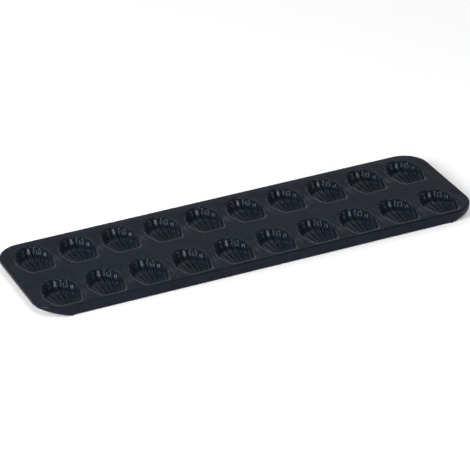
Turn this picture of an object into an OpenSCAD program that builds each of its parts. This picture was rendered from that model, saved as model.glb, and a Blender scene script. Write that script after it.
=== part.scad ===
// Mini madeleine pan. One steel sheet is pressed into two rows of fluted shell moulds.
// Its edges are turned down all round. The two long sides reach down to the table, and are
// rolled inward over a straight steel wire each. At the ends only a short lip is turned down.
// The origin is under the middle of the pan, at the level that it stands on.
// X runs along the pan, Y across it from the front edge to the back, and Z up.

/* [Pan] */
// Length over the turned-down edges
pan_l = 395; // [385:1:460]
// Width over the turned-down edges
pan_w = 115; // [115:1:150]
// Height of the flat top above the table
pan_h = 10; // [9.3:0.1:14]
// Radius of the corners, seen from above
corner_r = 22.5; // [16:0.5:24]
// Thickness of the steel sheet
sheet_t = 0.8; // [0.5:0.1:1]
// Outer radius of the bend along the top edge
bend_r = 1.6; // [1.2:0.1:1.6]

/* [Short ends] */
// Height of the lip that is turned down at the two ends
end_lip_h = 3; // [2.5:0.1:6]
// How far from each end the long sides start to taper down to that lip
taper_l = 26; // [20:0.5:40]

/* [Rolled edge of the long sides] */
// Diameter of the wire inside each rolled edge
wire_d = 2; // [1.5:0.1:2.6]
// Gap between the wire and the sheet rolled round it
wire_gap = 0.15; // [0.05:0.05:0.3]
// Degrees that the sheet turns round the wire
roll_turn = 285; // [240:5:300]
// Depth of the flat that is pressed under the roll, which the pan stands on
flat_cut = 0.15; // [0.05:0.05:0.3]
// How far each end of the wire lies inside the roll
wire_inset = 1.5; // [0.5:0.5:10]

/* [Mould layout] */
// Moulds along each row
mould_columns = 10; // [4:1:10]
// Distance between neighbours along a row
column_pitch = 38; // [36:0.1:38.5]
// Distance between the two rows
row_pitch = 60.2; // [56:0.1:61]
// How far both rows are set towards the front edge
row_shift = 2.6; // [0:0.1:3]

/* [Mould] */
// Length of one mould, from its hinge end to its round end
mould_l = 43.2; // [38:0.1:43.6]
// Width of one mould at its widest
mould_w = 31; // [26:0.5:32]
// Width of the straight hinge end
hinge_w = 20.5; // [14:0.5:21]
// Depth of the mould below the flat top, inside
mould_depth = 8.2; // [6:0.1:8.2]
// Flutes that fan out from the hinge end
flutes = 9; // [5:1:10]
// How high the ridges stand between the flutes
ridge_h = 1; // [0.3:0.1:1.4]
// How far each ridge pushes in the rim of the round end
rim_scallop = 0.5; // [0:0.1:0.8]
// How far down the press rounds the rim of a mould, over twice that width
rim_round = 0.7; // [0.2:0.1:0.8]

/* [Hidden] */
sheet_colour = "#2c3138";
wire_colour = "#8d9196";
$fn = 96;

// The roll, seen in a cut through the edge: x is 0 on the outer face of the pan
roll_inner_r = wire_d / 2 + wire_gap;
roll_outer_r = roll_inner_r + sheet_t;
roll_centre_z = roll_outer_r - flat_cut;
roll_end_angle = 360 - roll_turn;

// Straight stretches of the edge, between the corners
side_l = pan_l - 2 * corner_r;
side_w = pan_w - 2 * corner_r;

// The roll stops this far before the side starts to taper or to turn
roll_stop = 1;
roll_l = min(side_l, pan_l - 2 * taper_l) - 2 * roll_stop;
wire_l = roll_l - 2 * wire_inset;

// The taper is the first part of a sine wave, this many degrees of it, in this many steps
taper_turn = 74;
taper_steps = 16;
taper_rise = pan_h - end_lip_h;
// What the cutters reach past the faces that they cut
overshoot = 1;

// Where each mould's middle lies
column_x = [for (i = [0:mould_columns - 1]) (i - (mould_columns - 1) / 2) * column_pitch];
row_y = [-row_pitch / 2 - row_shift, row_pitch / 2 - row_shift];

// The fan of flutes: its round end turns this far to each side of straight back
fan_angle = 105;
// The corners of the hinge end are eased back by this much
hinge_ease = 0.8;
ease_power = 8;
// Steps across each flute, and steps along it
flute_steps = 2;
length_steps = 5;
// Powers of the mould's profiles across and along: 2 is a round hollow, and more has steeper walls
side_power = 4;
end_power = 5.5;
// The mould's outside starts inside the sheet's thickness and ends sheet_t below the inside
outer_depth = mould_depth + sheet_t / 2;

function fan_steps() = flutes * flute_steps;

// 1 in the middle of a flute and 0 on the ridge beside it
function flute_wave(i) = let (share = (i % flute_steps) / flute_steps) 4 * share * (1 - share);

// Where ray i of the fan starts on the hinge end, and where it ends on the round end,
// for a mould that is grown outward by g
function ray_start(i, g) =
    let (across = 2 * i / fan_steps() - 1)
    [across * (hinge_w / 2 + g), -mould_l / 2 - g + hinge_ease * pow(across, ease_power)];
function ray_end(i, g) =
    let (turn = (2 * i / fan_steps() - 1) * fan_angle)
    let (inset = rim_scallop * (1 - flute_wave(i)))
    [(mould_w / 2 + g - inset) * sin(turn), (mould_l / 2 + g - inset) * cos(turn)];

// One point of the mould's skin: step i across the fan and step j along the ray
function skin_point(i, j, g, top_z, depth) =
    let (across = 2 * i / fan_steps() - 1)
    let (phase = 180 * j / length_steps)
    let (along = (1 - cos(phase)) / 2)
    let (start = ray_start(i, g), end = ray_end(i, g))
    let (hollow = (1 - pow(abs(across), side_power)) * (1 - pow(abs(cos(phase)), end_power)))
    let (ridge = ridge_h * (1 - flute_wave(i)) * hollow)
    [
        start[0] + (end[0] - start[0]) * along,
        start[1] + (end[1] - start[1]) * along,
        top_z - depth * hollow + ridge
    ];

// The rim of the mould as a closed loop of steps, along the hinge end first
function rim_steps() = concat(
    [for (i = [0:fan_steps()]) [i, 0]],
    [for (j = [1:length_steps]) [fan_steps(), j]],
    [for (i = [fan_steps() - 1:-1:0]) [i, length_steps]],
    [for (j = [length_steps - 1:-1:1]) [0, j]]
);

// A closed solid of the mould's hollow, with its rim at top_z. Where lip isn't 0, a flared
// lip goes on from the rim, out by lip and up to lid_z.
module mould_solid(g, top_z, depth, lip = 0, lid_z = 0) {
    across = fan_steps() + 1;
    skin = [for (j = [0:length_steps]) for (i = [0:fan_steps()]) skin_point(i, j, g, top_z, depth)];
    rim = rim_steps();
    lid = [
        for (s = rim)
            let (p = skin_point(s[0], s[1], g + lip, top_z, depth))
            [p[0], p[1], lid_z]
    ];
    skin_faces = [
        for (j = [0:length_steps - 1]) for (i = [0:fan_steps() - 1])
            let (a = j * across + i, b = a + 1, c = a + across, d = c + 1)
            each (2 * i < fan_steps() ? [[a, b, d], [a, d, c]] : [[a, b, c], [b, d, c]])
    ];
    lip_faces = [
        for (k = [0:len(rim) - 1])
            let (next = (k + 1) % len(rim))
            let (a = rim[k][1] * across + rim[k][0], b = rim[next][1] * across + rim[next][0])
            let (c = len(skin) + k, d = len(skin) + next)
            each [[a, c, d], [a, d, b]]
    ];
    flared_lid = [for (k = [len(rim) - 1:-1:0]) len(skin) + k];
    plain_lid = [for (k = [len(rim) - 1:-1:0]) rim[k][1] * across + rim[k][0]];
    if (lip > 0)
        polyhedron(concat(skin, lid), concat(skin_faces, lip_faces, [flared_lid]), convexity = 6);
    else
        polyhedron(skin, concat(skin_faces, [plain_lid]), convexity = 6);
}

// Puts its child at every mould's place
module at_moulds() {
    for (x = column_x) for (y = row_y) translate([x, y, 0]) children();
}

// The sheet's section along an edge, its side reaching down to z = foot. Seen in this cut,
// x is 0 on the outer face, and the flat top runs in to x = -corner_r.
module plain_section(foot = 0) {
    // Flat top, up to the bend
    translate([-corner_r, pan_h - sheet_t]) square([corner_r - bend_r, sheet_t]);
    // Bend
    translate([-bend_r, pan_h - bend_r]) intersection() {
        difference() {
            circle(r = bend_r);
            circle(r = bend_r - sheet_t);
        }
        square(bend_r);
    }
    // Turned-down side
    translate([-sheet_t, foot]) square([sheet_t, pan_h - bend_r - foot]);
}

// The same section where the side ends in a roll round the wire, flat underneath
module rolled_section() {
    plain_section(foot = roll_centre_z);
    translate([-roll_outer_r, roll_centre_z]) difference() {
        circle(r = roll_outer_r);
        circle(r = roll_inner_r);
        // The part of the ring that the sheet doesn't reach
        polygon([
            [0, 0],
            [2 * roll_outer_r, 0],
            [2 * roll_outer_r, 2 * roll_outer_r],
            [2 * roll_outer_r * cos(roll_end_angle), 2 * roll_outer_r * sin(roll_end_angle)]
        ]);
        translate([-roll_outer_r, -2 * roll_outer_r - roll_centre_z])
            square([2 * roll_outer_r, 2 * roll_outer_r]);
    }
}

// Stands a section up on a long side, -1 the front and 1 the back, around the pan's middle
module along_side(side, length) {
    translate([0, side * pan_w / 2, 0]) rotate([90, 0, side * 90])
        linear_extrude(height = length, center = true) children();
}

// The plain edge all round: both ends, both long sides and the four corners
module plain_edge() {
    for (side = [-1, 1]) {
        translate([side * pan_l / 2, 0, 0]) rotate([90, 0, side > 0 ? 0 : 180])
            linear_extrude(height = side_w, center = true) plain_section();
        along_side(side, side_l) plain_section();
    }
    for (quarter = [0:3]) {
        x_side = quarter == 0 || quarter == 3 ? 1 : -1;
        y_side = quarter < 2 ? 1 : -1;
        translate([x_side * side_l / 2, y_side * side_w / 2, 0])
            rotate([0, 0, 90 * quarter])
                rotate_extrude(angle = 90) translate([corner_r, 0]) plain_section();
    }
}

// What is trimmed off under both long sides, where the rolls go
module roll_trim() {
    translate([-roll_l / 2, -pan_w / 2 - overshoot, -overshoot])
        cube([roll_l, pan_w + 2 * overshoot, roll_centre_z + overshoot]);
}

// What is trimmed off under the edge at one end, -1 the left and 1 the right
module end_trim(end) {
    start = pan_l / 2 - taper_l;
    curve = [
        for (k = [0:taper_steps])
            let (share = k / taper_steps)
            [end * (start + taper_l * share), taper_rise * sin(taper_turn * share) / sin(taper_turn)]
    ];
    outside = [
        [end * (pan_l / 2 + overshoot), taper_rise],
        [end * (pan_l / 2 + overshoot), -overshoot],
        [end * start, -overshoot]
    ];
    rotate([90, 0, 0]) linear_extrude(height = pan_w + 2 * overshoot, center = true)
        polygon(concat(curve, outside));
}

// One sheet of steel: flat top, moulds, turned-down sides, and the rolls of the long sides
module pressed_sheet() {
    color(sheet_colour) difference() {
        union() {
            translate([-side_l / 2, -side_w / 2, pan_h - sheet_t]) cube([side_l, side_w, sheet_t]);
            difference() {
                plain_edge();
                roll_trim();
                for (end = [-1, 1]) end_trim(end);
            }
            for (side = [-1, 1]) along_side(side, roll_l) rolled_section();
            at_moulds() mould_solid(g = sheet_t, top_z = pan_h - sheet_t / 2, depth = outer_depth);
        }
        at_moulds() mould_solid(
            g = 0, top_z = pan_h - rim_round, depth = mould_depth - rim_round,
            lip = 2 * rim_round, lid_z = pan_h + rim_round
        );
    }
}

// A straight wire inside the roll of one long side, -1 the front and 1 the back
module edge_wire(side) {
    color(wire_colour) translate([0, side * (pan_w / 2 - roll_outer_r), roll_centre_z])
        rotate([0, 90, 0]) cylinder(h = wire_l, d = wire_d, center = true);
}

module front_edge_wire() {
    edge_wire(-1);
}

module back_edge_wire() {
    edge_wire(1);
}

pressed_sheet();
front_edge_wire();
back_edge_wire();
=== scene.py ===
"""Madeleine pan: one pressed sheet with a dark non-stick finish, on a white table.

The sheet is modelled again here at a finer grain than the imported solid, with the same driving sizes: soft
press radii round the moulds, the saddles between neighbours, and rounded ridges between the flutes.
X runs along the pan, Y from its front edge to its back edge, and Z up, all in metres.
"""

import math

import bpy
from mathutils import Matrix, Vector
from mathutils.geometry import delaunay_2d_cdt


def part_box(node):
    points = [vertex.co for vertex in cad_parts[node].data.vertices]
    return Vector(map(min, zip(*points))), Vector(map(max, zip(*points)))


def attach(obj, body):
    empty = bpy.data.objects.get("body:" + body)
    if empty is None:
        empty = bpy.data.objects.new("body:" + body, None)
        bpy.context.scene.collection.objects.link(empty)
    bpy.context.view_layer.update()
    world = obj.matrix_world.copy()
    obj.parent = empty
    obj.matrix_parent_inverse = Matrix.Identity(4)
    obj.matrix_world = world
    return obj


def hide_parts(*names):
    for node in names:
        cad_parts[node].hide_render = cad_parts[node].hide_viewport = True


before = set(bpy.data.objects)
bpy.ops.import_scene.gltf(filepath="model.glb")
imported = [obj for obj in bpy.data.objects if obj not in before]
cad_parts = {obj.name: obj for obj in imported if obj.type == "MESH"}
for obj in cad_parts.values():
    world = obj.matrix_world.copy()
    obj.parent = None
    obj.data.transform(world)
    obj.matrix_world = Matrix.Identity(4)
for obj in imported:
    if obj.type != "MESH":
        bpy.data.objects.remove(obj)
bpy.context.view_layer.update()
MM = 0.001

# The pan's outline, and the sheet that it is pressed from
LOW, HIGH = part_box("pressed_sheet")
PAN_L = HIGH.x - LOW.x
PAN_W = HIGH.y - LOW.y
PAN_H = HIGH.z
CORNER_R = 22.5 * MM
SHEET_T = 0.8 * MM
BEND_R = 1.6 * MM

# Short ends, whose lip the long sides taper down to
END_LIP_H = 3 * MM
TAPER_L = 26 * MM
TAPER_TURN = math.radians(74)

# Rolled edge of the long sides, round its wire
WIRE_LOW, WIRE_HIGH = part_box("front_edge_wire")
WIRE_D = WIRE_HIGH.z - WIRE_LOW.z
WIRE_GAP = 0.15 * MM
ROLL_TURN = math.radians(285)
FLAT_CUT = 0.15 * MM
ROLL_STOP = 1 * MM
ROLL_OUTER_R = WIRE_D / 2 + WIRE_GAP + SHEET_T
ROLL_CENTRE_Z = ROLL_OUTER_R - FLAT_CUT
ROLL_HALF = PAN_L / 2 - TAPER_L - ROLL_STOP

# Moulds
COLUMNS = 10
COLUMN_PITCH = 38 * MM
ROW_PITCH = 60.2 * MM
ROW_SHIFT = 2.6 * MM
MOULD_L = 43.2 * MM
MOULD_W = 31 * MM
HINGE_W = 20.5 * MM
HINGE_EASE = 0.8 * MM
EASE_POWER = 8
MOULD_DEPTH = 8.2 * MM
SIDE_POWER = 4
END_POWER = 5.5
COLUMN_X = [(i - (COLUMNS - 1) / 2) * COLUMN_PITCH for i in range(COLUMNS)]
ROW_Y = [-ROW_PITCH / 2 - ROW_SHIFT, ROW_PITCH / 2 - ROW_SHIFT]

# Flutes fan out from the hinge end, with a rounded ridge between two of them
FAN_ANGLE = math.radians(105)
FLUTES = 9
RIDGE_H = 1.15 * MM
# Above 1 makes the ridges narrower than the flutes
RIDGE_POWER = 1.2
# How the ridges fade towards the hinge end: 0 not at all, 1 evenly
RIDGE_FADE = 0.75
# Share of the mould's half width, and sine of the phase along it, over which a ridge rises from the rim
RIDGE_SIDE_FADE = 0.1
RIDGE_END_FADE = 0.35
RIM_SCALLOP = 0.35 * MM

# The rim rolls over softly: it starts this far outside the mould's outline, and is this wide
LIP_OUT_HINGE = 1.9 * MM
LIP_OUT_FAR = 0.6 * MM
LIP_OUT_SIDE = 3.3 * MM
LIP_REACH = max(LIP_OUT_HINGE, LIP_OUT_FAR, LIP_OUT_SIDE)
LIP_W_HINGE = 3.6 * MM
LIP_W_FAR = 1.4 * MM
LIP_W_SIDE = 4.1 * MM
# The slope that it reaches, and how it gets there: 1 is a round bend, and more starts more gently
RIM_TURN = math.radians(60)
RIM_EASE = 1.6
# Share of a ray, from the hinge end, over which one width turns into the other
LIP_BLEND = 0.3
# Near the bend, each of a lip's rings keeps this much more away from it than the ring outside it
LIP_MARGIN = 0.08 * MM

# The sheet is drawn down between neighbouring moulds
SADDLE_DIP = 0.45 * MM
SADDLE_HALF_W = 3.4 * MM
SADDLE_HALF_L = 11 * MM
# A saddle is left out beyond so many half widths, and where it has less than this share of its dip
SADDLE_REACH = 4
SADDLE_LEAST = 0.001

# Fineness of the mesh
STEPS_PER_FLUTE = 10
STEPS_ALONG = 30
STEPS_LIP = 9
EDGE_STEP = 4 * MM
ARC_STEPS = 20
BEND_STEPS = 8
WALL_STEPS = 3
ROLL_STEPS = 22
WELDS_PER_METRE = 1e7
TRIANGLE_EPSILON = 1e-9
# Extra points on a saddle: three lines across it, which spread a little away from its middle
POINT_STEP = 1.5 * MM
POINT_STEPS = 14
POINT_ASIDE = 1.14 * MM
POINT_SPREAD = 0.00096 / MM
POINT_END_GAP = 5 * MM

# Dark and light end of the coating's mottling, and how shiny it is
COATING_DARK = (0.004, 0.0075, 0.0135)
COATING_LIGHT = (0.006, 0.011, 0.019)
COATING_ROUGHNESS = (0.20, 0.26)
COATING_IOR = 1.22
STEEL_DARK = (0.34, 0.34, 0.35)
STEEL_LIGHT = (0.52, 0.52, 0.53)

# White table, and what the camera and reflections see of it on top of the lamps' light
FLOOR_HALF = 6.0
FLOOR_COLOUR = (0.96, 0.96, 0.96, 1)
FLOOR_GLOW = 0.16

# The surroundings get darker upwards: sine of the elevation, and brightness there
HORIZON_COLOUR = (0.95, 0.95, 0.96, 1)
SKY_LEVELS = ((0.15, 0.90), (0.36, 0.42), (0.52, 0.30), (0.85, 0.20))
SKY_BLUE = 0.01
LAMP_DISTANCE = 2.0

# The photograph's view, fitted to the pan's outline, its bend and the twenty moulds
IMAGE_SIDE_PX = 470
FOCAL_PX = 2678
CAMERA_AZIMUTH = -23.95
CAMERA_ELEVATION = 28.66
CAMERA_ROLL = math.radians(-1.41)
CAMERA_DISTANCE = 2.236
CAMERA_RIGHT = -2.7 * MM
CAMERA_UP = 2.5 * MM
CAMERA_CLIP = 20
SENSOR_MM = 36


def smooth(share):
    """0 to 1 with level ends."""
    share = min(max(share, 0.0), 1.0)
    return share * share * (3 - 2 * share)


def mixed(first, second, share):
    return first + (second - first) * share


# The mould's shape: rays run from its hinge end, at phase 0, to its far end, at phase pi
def ray_share(phase):
    """How far along its ray a phase lies, from 0 to 1."""
    return (1 - math.cos(phase)) / 2


def ridge_wave(across):
    """1 on a ridge between two flutes and 0 in the middle of a flute, for across from -1 to 1."""
    share = (across + 1) / 2 * FLUTES
    if share < 0.5 or share > FLUTES - 0.5:
        return 0.0
    return (0.5 + 0.5 * math.cos(2 * math.pi * share)) ** RIDGE_POWER


def ridge_relief(across, phase):
    """How far the ridges stand out of the mould's skin."""
    fade = smooth((1 - abs(across)) / RIDGE_SIDE_FADE) * smooth(math.sin(phase) / RIDGE_END_FADE)
    return RIDGE_H * ray_share(phase) ** RIDGE_FADE * fade * ridge_wave(across)


def ray_start(across, grow):
    """A ray's place on the hinge end of the mould's outline, grown by a distance."""
    ease = HINGE_EASE * abs(across) ** EASE_POWER
    return Vector((across * (HINGE_W / 2 + grow), -MOULD_L / 2 - grow + ease, 0))


def ray_end(across, grow):
    """A ray's place on the round end of the mould's outline, grown by a distance."""
    turn = across * FAN_ANGLE
    grow -= RIM_SCALLOP * ridge_wave(across)
    return Vector(((MOULD_W / 2 + grow) * math.sin(turn), (MOULD_L / 2 + grow) * math.cos(turn), 0))


def lip_profile():
    """The rim's section as (share of its width, drop per unit of width) from the flat top inward."""
    level, drop = [0.0], [0.0]
    for step in range(STEPS_LIP):
        turn = RIM_TURN * ((step + 0.5) / STEPS_LIP) ** RIM_EASE
        level.append(level[-1] + math.cos(turn))
        drop.append(drop[-1] + math.sin(turn))
    return [(a / level[-1], b / level[-1]) for a, b in zip(level, drop)]


LIP_PROFILE = lip_profile()


def lip_point(across, along, step):
    """The rolled-over rim: step 0 is where the flat top ends, and STEPS_LIP is the top of the wall."""
    away = smooth(along / LIP_BLEND)
    aside = math.sin(across * FAN_ANGLE) ** 2
    outside = mixed(LIP_OUT_HINGE, mixed(LIP_OUT_FAR, LIP_OUT_SIDE, aside), away)
    width = mixed(LIP_W_HINGE, mixed(LIP_W_FAR, LIP_W_SIDE, aside), away)
    level, drop = LIP_PROFILE[step]
    grow = outside - width * level
    point = ray_start(across, grow).lerp(ray_end(across, grow), along)
    point.z = -width * drop
    return point


def skin_point(across, phase):
    """A point inside the mould before the ridges are raised, with its height below the flat top."""
    point = lip_point(across, ray_share(phase), STEPS_LIP)
    rim_z = point.z
    hollow = (1 - abs(across) ** SIDE_POWER) * (1 - abs(math.cos(phase)) ** END_POWER)
    point.z = rim_z - (MOULD_DEPTH + rim_z) * hollow
    return point


def saddle_dip(x, y):
    """How far the sheet is drawn down at a place between neighbouring moulds."""
    dip = 0.0
    for row in ROW_Y:
        level = math.exp(-(((y - row) / SADDLE_HALF_L) ** 2))
        if level < SADDLE_LEAST:
            continue
        for column in COLUMN_X:
            for side in (-1, 1):
                off = (x - column - side * COLUMN_PITCH / 2) / SADDLE_HALF_W
                if abs(off) < SADDLE_REACH:
                    dip += SADDLE_DIP * level * math.exp(-off * off)
    return dip


class SheetMesh:
    """Collects vertices, welded by place, and faces."""

    def __init__(self):
        self.points = []
        self.index = {}
        self.faces = []

    def vertex(self, x, y, z):
        key = tuple(round(value * WELDS_PER_METRE) for value in (x, y, z))
        if key not in self.index:
            self.index[key] = len(self.points)
            self.points.append((x, y, z))
        return self.index[key]

    def face(self, corners):
        loop = []
        for corner in corners:
            if corner not in loop:
                loop.append(corner)
        if len(loop) > 2:
            self.faces.append(loop)

    def grid(self, rows):
        """Quads between rows of vertices. Rows run left to right and then away, seen from outside."""
        for near, far in zip(rows, rows[1:]):
            for k in range(len(near) - 1):
                self.face([near[k], near[k + 1], far[k + 1], far[k]])

    def band(self, lower, upper):
        """Quads between two closed rings of vertices, anticlockwise seen from outside."""
        for k in range(len(lower)):
            n = (k + 1) % len(lower)
            self.face([lower[k], lower[n], upper[n], upper[k]])


def mould_grid():
    """One mould's skin, the grid places of its rim, and its lip's rings from the inmost outward."""
    across_steps = FLUTES * STEPS_PER_FLUTE
    acrosses = [2 * i / across_steps - 1 for i in range(across_steps + 1)]
    phases = [math.pi * j / STEPS_ALONG for j in range(STEPS_ALONG + 1)]
    base = [[skin_point(a, p) for a in acrosses] for p in phases]
    skin = []
    for j, phase in enumerate(phases):
        row = []
        for i, across in enumerate(acrosses):
            point = base[j][i].copy()
            if 0 < j < STEPS_ALONG and 0 < i < across_steps:
                along_step = base[j + 1][i] - base[j - 1][i]
                across_step = base[j][i + 1] - base[j][i - 1]
                normal = across_step.cross(along_step).normalized()
                point += normal * ridge_relief(across, phase)
            row.append(point)
        skin.append(row)
    rim = [(i, 0) for i in range(across_steps + 1)]
    rim += [(across_steps, j) for j in range(1, STEPS_ALONG + 1)]
    rim += [(i, STEPS_ALONG) for i in range(across_steps - 1, -1, -1)]
    rim += [(0, j) for j in range(STEPS_ALONG - 1, 0, -1)]
    lips = []
    for step in range(STEPS_LIP - 1, -1, -1):
        lips.append([lip_point(acrosses[i], ray_share(phases[j]), step) for i, j in rim])
    return skin, rim, lips


def place_moulds(sheet):
    """Sets all the moulds in the sheet and returns the outermost ring of each lip."""
    skin, rim, lips = mould_grid()
    outer_rings = []
    for row in ROW_Y:
        for column in COLUMN_X:

            def put(point, step=STEPS_LIP):
                x, y = inside_bend(column + point.x, row + point.y, LIP_MARGIN * (step + 1))
                share = max(0.0, 1 + point.z / MOULD_DEPTH)
                return sheet.vertex(x, y, PAN_H + point.z - saddle_dip(x, y) * share * share)

            rows = [[put(p) for p in line] for line in skin]
            sheet.grid(rows)
            ring = [rows[j][i] for i, j in rim]
            for step, lip in zip(range(STEPS_LIP - 1, -1, -1), lips):
                outer = [put(p, step) for p in lip]
                sheet.band(outer, ring)
                ring = outer
            outer_rings.append(ring)
    return outer_rings


def inside_bend(x, y, margin):
    """Pulls a place back until it is a margin inside the bend, and leaves one that is there already."""
    half_l, half_w = PAN_L / 2 - CORNER_R, PAN_W / 2 - CORNER_R
    over_x, over_y = max(0.0, abs(x) - half_l), max(0.0, abs(y) - half_w)
    reach, limit = math.hypot(over_x, over_y), CORNER_R - BEND_R - margin
    if reach <= limit:
        return x, y
    x = math.copysign(min(abs(x), half_l) + over_x * limit / reach, x)
    y = math.copysign(min(abs(y), half_w) + over_y * limit / reach, y)
    return x, y


def outline():
    """Places round the pan's edge, from the front left and anticlockwise: (point, outward direction)."""
    half_l, half_w = PAN_L / 2 - CORNER_R, PAN_W / 2 - CORNER_R
    stops = sorted({-half_l, -ROLL_HALF, ROLL_HALF, half_l})
    xs = []
    for a, b in zip(stops, stops[1:]):
        count = max(1, round((b - a) / EDGE_STEP))
        xs += [a + (b - a) * k / count for k in range(count)]
    xs.append(half_l)
    count = round(2 * half_w / EDGE_STEP)
    ys = [-half_w + 2 * half_w * k / count for k in range(count + 1)]
    places = [(Vector((x, -half_w, 0)), Vector((0, -1, 0))) for x in xs]
    places += corner(half_l, -half_w, -90)
    places += [(Vector((half_l, y, 0)), Vector((1, 0, 0))) for y in ys]
    places += corner(half_l, half_w, 0)
    places += [(Vector((x, half_w, 0)), Vector((0, 1, 0))) for x in reversed(xs)]
    places += corner(-half_l, half_w, 90)
    places += [(Vector((-half_l, y, 0)), Vector((-1, 0, 0))) for y in reversed(ys)]
    places += corner(-half_l, -half_w, 180)
    return [(centre + out * CORNER_R, out) for centre, out in places]


def corner(x, y, first_degree):
    """The centre of a corner's arc, with the outward directions of the places on the arc."""
    places = []
    for k in range(1, ARC_STEPS):
        turn = math.radians(first_degree + 90 * k / ARC_STEPS)
        places.append((Vector((x, y, 0)), Vector((math.cos(turn), math.sin(turn), 0))))
    return places


def lower_edge(x):
    """Height of the sheet's lower edge where it isn't rolled: 0 on the long sides, and more at the ends."""
    share = (abs(x) - (PAN_L / 2 - TAPER_L)) / TAPER_L
    if share <= 0:
        return 0.0
    return (PAN_H - END_LIP_H) * math.sin(TAPER_TURN * share) / math.sin(TAPER_TURN)


def saddle_points(lip_outlines):
    """Extra places on the flat parts of the saddles, which give their dips a smooth shape."""
    points = []
    for row in ROW_Y:
        for column in range(COLUMNS + 1):
            middle_x = (column - COLUMNS / 2) * COLUMN_PITCH
            for step in range(-POINT_STEPS, POINT_STEPS + 1):
                away = step * POINT_STEP
                aside = POINT_ASIDE + POINT_SPREAD * away ** 2
                for side in (-1, 0, 1):
                    place = Vector((middle_x + side * aside, row + away))
                    if abs(place.x) < PAN_L / 2 - POINT_END_GAP and on_the_flat(place, lip_outlines):
                        points.append(place)
    return points


def fill_flat(sheet, edge_ring, outer_rings):
    """Triangles between the bend and the moulds' lips."""
    ids = list(edge_ring)
    loops = [list(range(len(edge_ring)))]
    for ring in outer_rings:
        loops.append(list(range(len(ids), len(ids) + len(ring))))
        ids += ring
    boundary = [(loop[k], loop[(k + 1) % len(loop)]) for loop in loops for k in range(len(loop))]
    lip_outlines = [[sheet.points[i][:2] for i in ring] for ring in outer_rings]
    flat = [Vector(sheet.points[i][:2]) for i in ids] + saddle_points(lip_outlines)
    result = delaunay_2d_cdt(flat, boundary, [], 0, TRIANGLE_EPSILON, True)
    places, triangles, sources = result[0], result[2], result[3]
    to_sheet = []
    for place, source in zip(places, sources):
        known = [s for s in source if s < len(ids)]
        if known:
            to_sheet.append(ids[known[0]])
        else:
            to_sheet.append(sheet.vertex(place.x, place.y, PAN_H - saddle_dip(place.x, place.y)))
    for triangle in triangles:
        middle = sum((places[i] for i in triangle), Vector((0, 0))) / 3
        if on_the_flat(middle, lip_outlines):
            sheet.face([to_sheet[i] for i in triangle])


def on_the_flat(place, lip_outlines):
    """True where a place on the top lies outside every mould's lip and inside the bend."""
    centres = [(column, row) for row in ROW_Y for column in COLUMN_X]
    near_x, near_y = MOULD_W / 2 + LIP_REACH, MOULD_L / 2 + LIP_REACH
    for (column, row), lip_outline in zip(centres, lip_outlines):
        near = abs(place.x - column) < near_x and abs(place.y - row) < near_y
        if near and surrounds(lip_outline, place.x, place.y):
            return False
    half_l, half_w = PAN_L / 2 - CORNER_R, PAN_W / 2 - CORNER_R
    over_x, over_y = max(0.0, abs(place.x) - half_l), max(0.0, abs(place.y) - half_w)
    return math.hypot(over_x, over_y) < CORNER_R - BEND_R


def surrounds(loop, x, y):
    """Even-odd test of a place against a closed outline."""
    inside = False
    for k in range(len(loop)):
        ax, ay = loop[k]
        bx, by = loop[(k + 1) % len(loop)]
        if (ay > y) != (by > y) and x < ax + (bx - ax) * (y - ay) / (by - ay):
            inside = not inside
    return inside


def turn_down(sheet, places):
    """The bend and the wall below it, all round. Returns the bend's inner ring and the wall's last one."""
    rows = []
    for step in range(BEND_STEPS + 1):
        turn = math.pi / 2 * step / BEND_STEPS
        inset = BEND_R * (1 - math.sin(turn))
        drop = BEND_R * (1 - math.cos(turn))
        rows.append([sheet.vertex(*(p - out * inset)[:2], PAN_H - drop) for p, out in places])
    edge_ring = rows[0]
    top = PAN_H - BEND_R
    for step in range(1, WALL_STEPS + 1):
        row = []
        for p, out in places:
            foot = max(ROLL_CENTRE_Z, lower_edge(p.x))
            row.append(sheet.vertex(p.x, p.y, top + (foot - top) * step / WALL_STEPS))
        rows.append(row)
    for upper, lower in zip(rows, rows[1:]):
        sheet.band(lower, upper)
    return edge_ring, rows[-1]


def finish_foot(sheet, places, last):
    """Below the roll's middle: the plain edge at the ends, and the rolls on the long sides."""
    for k in range(len(places)):
        n = (k + 1) % len(places)
        here, there = places[k][0], places[n][0]
        if abs(here.x + there.x) / 2 > ROLL_HALF:
            foot = [sheet.vertex(p.x, p.y, lower_edge(p.x)) for p in (here, there)]
            sheet.face([foot[0], foot[1], last[n], last[k]])
            continue
        side = 1 if here.y > 0 else -1
        strip = []
        for step in range(ROLL_STEPS + 1):
            turn = ROLL_TURN * step / ROLL_STEPS
            y = side * (PAN_W / 2 - ROLL_OUTER_R * (1 - math.cos(turn)))
            z = max(0.0, ROLL_CENTRE_Z - ROLL_OUTER_R * math.sin(turn))
            strip.append([sheet.vertex(p.x, y, z) for p in (here, there)])
        for upper, lower in zip(strip, strip[1:]):
            sheet.face([lower[0], lower[1], upper[1], upper[0]])


def build_sheet():
    sheet = SheetMesh()
    outer_rings = place_moulds(sheet)
    places = outline()
    edge_ring, last = turn_down(sheet, places)
    finish_foot(sheet, places, last)
    fill_flat(sheet, edge_ring, outer_rings)
    mesh = bpy.data.meshes.new("pressed_sheet_skin")
    mesh.from_pydata(sheet.points, [], sheet.faces)
    mesh.validate()
    mesh.update()
    mesh.shade_smooth()
    piece = bpy.data.objects.new("pressed_sheet_skin", mesh)
    bpy.context.scene.collection.objects.link(piece)
    solid = piece.modifiers.new("thickness", "SOLIDIFY")
    solid.thickness = SHEET_T
    solid.offset = -1
    solid.use_rim = True
    return piece


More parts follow.
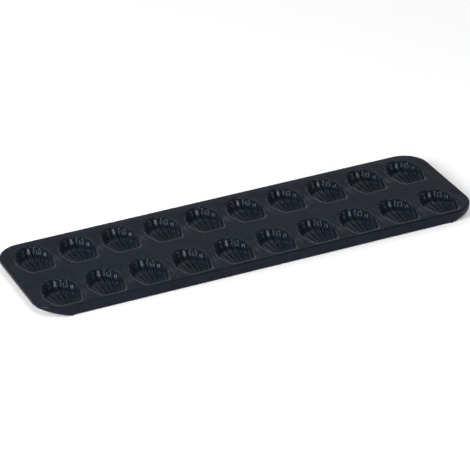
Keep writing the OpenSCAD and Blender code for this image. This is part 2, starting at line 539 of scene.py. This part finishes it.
class Nodes:
    """A material's node tree, with short calls for the nodes used here."""

    def __init__(self, name):
        self.material = bpy.data.materials.new(name)
        self.material.use_nodes = True
        self.tree = self.material.node_tree
        self.shader = self.tree.nodes["Principled BSDF"]
        self.place = self.tree.nodes.new("ShaderNodeTexCoord").outputs["Object"]

    def noise(self, scale, detail, roughness=0.5, place=None):
        node = self.tree.nodes.new("ShaderNodeTexNoise")
        node.inputs["Scale"].default_value = scale
        node.inputs["Detail"].default_value = detail
        node.inputs["Roughness"].default_value = roughness
        self.tree.links.new(place or self.place, node.inputs["Vector"])
        return node.outputs["Fac"]

    def spread(self, value, low_in, high_in, low, high):
        """A value from low to high, while the one given goes from low_in to high_in."""
        node = self.tree.nodes.new("ShaderNodeMapRange")
        node.inputs["From Min"].default_value = low_in
        node.inputs["From Max"].default_value = high_in
        node.inputs["To Min"].default_value = low
        node.inputs["To Max"].default_value = high
        self.tree.links.new(value, node.inputs["Value"])
        return node.outputs["Result"]

    def colours(self, value, first, second):
        node = self.tree.nodes.new("ShaderNodeMix")
        node.data_type = "RGBA"
        node.inputs["A"].default_value = (*first, 1)
        node.inputs["B"].default_value = (*second, 1)
        self.tree.links.new(value, node.inputs["Factor"])
        return node.outputs["Result"]

    def bump(self, value, strength, distance, below=None):
        node = self.tree.nodes.new("ShaderNodeBump")
        node.inputs["Strength"].default_value = strength
        node.inputs["Distance"].default_value = distance
        self.tree.links.new(value, node.inputs["Height"])
        if below:
            self.tree.links.new(below, node.inputs["Normal"])
        return node.outputs["Normal"]

    def seen(self, strength):
        """A strength for what the camera and reflections see, and 0 for the light that falls on the pan."""
        path = self.tree.nodes.new("ShaderNodeLightPath")
        total = path.outputs["Is Camera Ray"]
        for kind in ("Is Glossy Ray", "Is Transmission Ray"):
            total = self.maths("MAXIMUM", total, path.outputs[kind])
        return self.maths("MULTIPLY", total, strength)

    def maths(self, operation, first, second):
        node = self.tree.nodes.new("ShaderNodeMath")
        node.operation = operation
        for value, socket in zip((first, second), node.inputs):
            self.feed(socket, value)
        return node.outputs["Value"]

    def stretched(self, factors):
        node = self.tree.nodes.new("ShaderNodeMapping")
        node.inputs["Scale"].default_value = factors
        self.tree.links.new(self.place, node.inputs["Vector"])
        return node.outputs["Vector"]

    def feed(self, socket, value):
        """Links another node's output to a socket, or sets the socket to a constant."""
        if isinstance(value, bpy.types.NodeSocket):
            self.tree.links.new(value, socket)
        else:
            socket.default_value = value

    def set(self, name, value):
        self.feed(self.shader.inputs[name], value)


def nonstick_material():
    """Satin dark blue-grey coating: faint mottling, a fine sprayed grain and broad uneven sheen."""
    nodes = Nodes("nonstick_coating")
    patches = nodes.noise(scale=90, detail=4, roughness=0.6)
    mottle = nodes.spread(patches, low_in=0.35, high_in=0.65, low=0, high=1)
    nodes.set("Base Color", nodes.colours(mottle, COATING_DARK, COATING_LIGHT))
    smooth_low, smooth_high = COATING_ROUGHNESS
    sheen = nodes.noise(scale=45, detail=3)
    nodes.set("Roughness", nodes.spread(sheen, low_in=0.3, high_in=0.7, low=smooth_low, high=smooth_high))
    nodes.set("IOR", COATING_IOR)
    grain = nodes.bump(nodes.noise(scale=2600, detail=2), strength=0.08, distance=0.1 * MM)
    waves = nodes.noise(scale=140, detail=2)
    nodes.set("Normal", nodes.bump(waves, strength=0.12, distance=0.6 * MM, below=grain))
    return nodes.material


def wire_material():
    """Drawn steel wire: fine lines along its length, slightly darkened in patches."""
    nodes = Nodes("drawn_wire")
    lines = nodes.noise(scale=1, detail=3, roughness=0.6, place=nodes.stretched((60, 6000, 6000)))
    patches = nodes.noise(scale=160, detail=3)
    nodes.set("Metallic", 1.0)
    nodes.set("Base Color", nodes.colours(patches, STEEL_DARK, STEEL_LIGHT))
    nodes.set("Roughness", nodes.spread(lines, low_in=0.3, high_in=0.7, low=0.28, high=0.45))
    nodes.set("Normal", nodes.bump(lines, strength=0.25, distance=0.05 * MM))
    return nodes.material


def floor_material():
    """White table with a faint paper grain."""
    nodes = Nodes("white_table")
    nodes.set("Base Color", FLOOR_COLOUR)
    grain = nodes.noise(scale=300, detail=3)
    nodes.set("Roughness", nodes.spread(grain, low_in=0.3, high_in=0.7, low=0.75, high=0.85))
    nodes.set("Specular IOR Level", 0.2)
    nodes.set("Emission Color", (1, 1, 1, 1))
    nodes.set("Emission Strength", nodes.seen(FLOOR_GLOW))
    return nodes.material


def add_floor():
    half = FLOOR_HALF
    corners = [(-half, -half, 0), (half, -half, 0), (half, half, 0), (-half, half, 0)]
    mesh = bpy.data.meshes.new("table")
    mesh.from_pydata(corners, [], [(0, 1, 2, 3)])
    floor = bpy.data.objects.new("table", mesh)
    bpy.context.scene.collection.objects.link(floor)
    mesh.materials.append(floor_material())


def direction(azimuth_degrees, elevation_degrees):
    """Unit vector towards a place, azimuth 0 in front of the pan and growing to the right."""
    azimuth, elevation = math.radians(azimuth_degrees), math.radians(elevation_degrees)
    level = math.cos(elevation)
    return Vector((math.sin(azimuth) * level, -math.cos(azimuth) * level, math.sin(elevation)))


def add_softbox(name, azimuth, elevation, width, height, brightness):
    """A soft lamp that points at the pan, whose energy is its face's area times a brightness."""
    data = bpy.data.lights.new(name, "AREA")
    data.shape = "RECTANGLE"
    data.size, data.size_y = width, height
    data.energy = brightness * math.pi * width * height
    lamp = bpy.data.objects.new(name, data)
    towards = direction(azimuth, elevation)
    lamp.location = towards * LAMP_DISTANCE
    lamp.rotation_euler = (-towards).to_track_quat("-Z", "Y").to_euler()
    bpy.context.scene.collection.objects.link(lamp)


def add_world():
    world = bpy.data.worlds.new("studio")
    world.use_nodes = True
    tree = world.node_tree
    back = tree.nodes["Background"]
    place = tree.nodes.new("ShaderNodeTexCoord")
    split = tree.nodes.new("ShaderNodeSeparateXYZ")
    tree.links.new(place.outputs["Generated"], split.inputs[0])
    ramp = tree.nodes.new("ShaderNodeValToRGB")
    steps = ramp.color_ramp.elements
    steps.remove(steps[1])
    steps[0].position = 0.0
    steps[0].color = HORIZON_COLOUR
    for height, level in SKY_LEVELS:
        steps.new(height).color = (level, level, level + SKY_BLUE, 1)
    tree.links.new(split.outputs["Z"], ramp.inputs["Fac"])
    tree.links.new(ramp.outputs["Color"], back.inputs["Color"])
    back.inputs["Strength"].default_value = 1
    bpy.context.scene.world = world


def add_camera():
    towards = direction(CAMERA_AZIMUTH, CAMERA_ELEVATION)
    right = (-towards).cross(Vector((0, 0, 1))).normalized()
    up = right.cross(-towards)
    rolled_right = math.cos(CAMERA_ROLL) * right + math.sin(CAMERA_ROLL) * up
    rolled_up = -math.sin(CAMERA_ROLL) * right + math.cos(CAMERA_ROLL) * up
    data = bpy.data.cameras.new("camera")
    data.sensor_width = SENSOR_MM
    data.lens = FOCAL_PX / IMAGE_SIDE_PX * SENSOR_MM
    data.clip_end = CAMERA_CLIP
    camera = bpy.data.objects.new("camera", data)
    turn = Matrix((rolled_right, rolled_up, towards)).transposed().to_4x4()
    turn.translation = towards * CAMERA_DISTANCE + rolled_right * CAMERA_RIGHT + rolled_up * CAMERA_UP
    camera.matrix_world = turn
    bpy.context.scene.collection.objects.link(camera)
    bpy.context.scene.camera = camera


sheet_piece = build_sheet()
sheet_piece.data.materials.append(nonstick_material())
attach(sheet_piece, "root")
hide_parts("pressed_sheet")

steel = wire_material()
for wire in ("front_edge_wire", "back_edge_wire"):
    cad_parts[wire].data.materials.clear()
    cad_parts[wire].data.materials.append(steel)

add_floor()
add_world()
add_softbox("left_softbox", azimuth=-72, elevation=29, width=0.6, height=0.8, brightness=21)
add_softbox("front_softbox", azimuth=5, elevation=55, width=0.5, height=0.45, brightness=15)
add_softbox("back_softbox", azimuth=172, elevation=52, width=1.8, height=0.7, brightness=1.8)
add_camera()
bpy.context.scene.view_settings.view_transform = "Standard"

bpy.context.view_layer.update()
